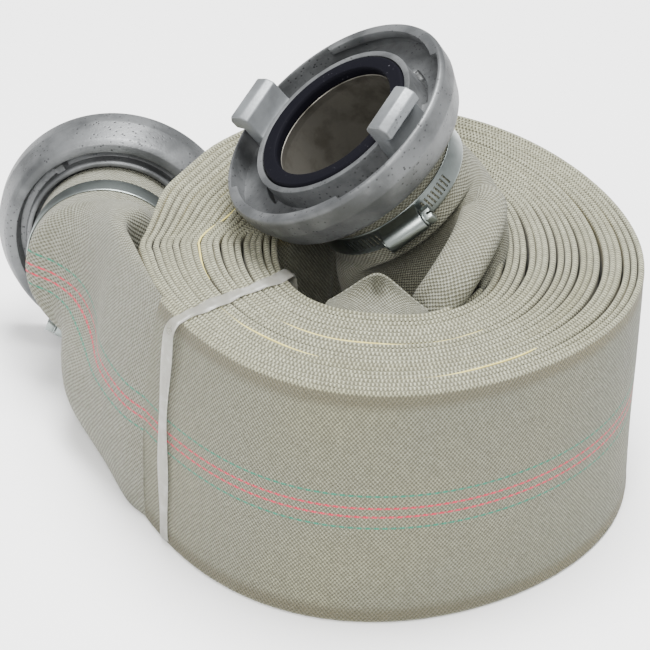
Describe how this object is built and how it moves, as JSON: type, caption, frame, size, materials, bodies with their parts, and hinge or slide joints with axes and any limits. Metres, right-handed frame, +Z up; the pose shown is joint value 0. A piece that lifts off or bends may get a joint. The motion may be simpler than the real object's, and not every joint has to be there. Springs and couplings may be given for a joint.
{
  "type": "rolled fire hose",
  "caption": "Flat woven fire hose wound into a roll that stands on edge, with a cast two-lug quick-twist coupling clamped on each end.",
  "frame": {"origin": "middle of the bounding box's underside, on the ground that the roll stands on", "axes": "+Z up along the roll's axis; +X the longest extent, from the outer coupling's side towards the roll; +Y towards the way the outer coupling faces"},
  "size_m": [0.3202, 0.266, 0.2185],
  "materials": {
    "woven_jacket": "plain weave, matte, cream edges and off-white face with dashed stripes",
    "rubber_lining": "matte",
    "cast_aluminium": "as cast, pitted, worn bright on the lugs",
    "turned_aluminium": "turned, dulled",
    "black_rubber": "satin",
    "spring_steel": "drawn wire",
    "zinc_plated_steel": "bright plated",
    "clear_plastic": "translucent, creased"
  },
  "bodies": {
    "root": {"hose_roll": "woven_jacket", "tie_strap": "clear_plastic", "hose_neck_inner": "woven_jacket", "hose_tail_inner": "turned_aluminium", "seal_inner": "black_rubber", "snap_ring_inner": "spring_steel", "hose_lining_inner": "rubber_lining", "clamp_band_inner": "zinc_plated_steel", "clamp_housing_inner": "zinc_plated_steel", "hose_neck_outer": "woven_jacket", "hose_tail_outer": "turned_aluminium", "seal_outer": "black_rubber", "snap_ring_outer": "spring_steel", "hose_lining_outer": "rubber_lining", "clamp_band_outer": "zinc_plated_steel", "clamp_housing_outer": "zinc_plated_steel"},
    "lug_ring_inner": {"lug_ring_inner": "cast_aluminium"},
    "lug_ring_outer": {"lug_ring_outer": "cast_aluminium"},
    "clamp_screw_inner": {"clamp_screw_inner": "zinc_plated_steel"},
    "clamp_screw_outer": {"clamp_screw_outer": "zinc_plated_steel"}
  },
  "joints": [
    {"name": "swivel_inner", "type": "hinge", "parent": "root", "child": "lug_ring_inner", "pos_m": [0.0116, 0.013, 0.1812], "axis": [-0.5962, -0.147, 0.7893], "continuous": true},
    {"name": "swivel_outer", "type": "hinge", "parent": "root", "child": "lug_ring_outer", "pos_m": [-0.0981, 0.103, 0.0622], "axis": [0.021, 0.9938, -0.109], "continuous": true},
    {"name": "worm_inner", "type": "hinge", "parent": "root", "child": "clamp_screw_inner", "pos_m": [0.04902, -0.0259, 0.14647], "axis": [0.7663, 0.189, 0.6141], "continuous": true},
    {"name": "worm_outer", "type": "hinge", "parent": "root", "child": "clamp_screw_outer", "pos_m": [-0.11511, 0.05482, 0.02334], "axis": [-0.9387, 0.0571, 0.34], "continuous": true}
  ]
}
